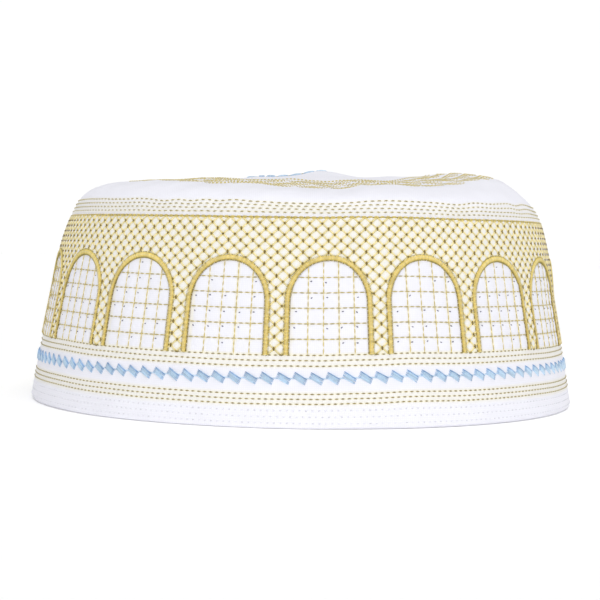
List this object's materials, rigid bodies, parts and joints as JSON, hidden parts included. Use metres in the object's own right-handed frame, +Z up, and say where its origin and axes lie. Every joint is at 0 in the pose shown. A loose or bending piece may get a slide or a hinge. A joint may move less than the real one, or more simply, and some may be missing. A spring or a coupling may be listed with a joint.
{
  "type": "prayer cap",
  "caption": "White cotton prayer cap: a tapering band embroidered with gold arches, net and a blue chain, and a soft round crown",
  "frame": {"origin": "centre of the rim, in the plane that the cap stands on", "axes": "+Z up through the middle of the crown, -Y out of the front, +X to the right seen from the front"},
  "size_m": [0.1884, 0.1884, 0.0802],
  "materials": {
    "band_cloth": "white cotton, machine embroidered in gold and light blue thread",
    "crown_cloth": "white cotton with rings of gold and light blue stitching"
  },
  "bodies": {
    "root": {"side_band": "band_cloth", "crown": "crown_cloth"}
  },
  "joints": []
}
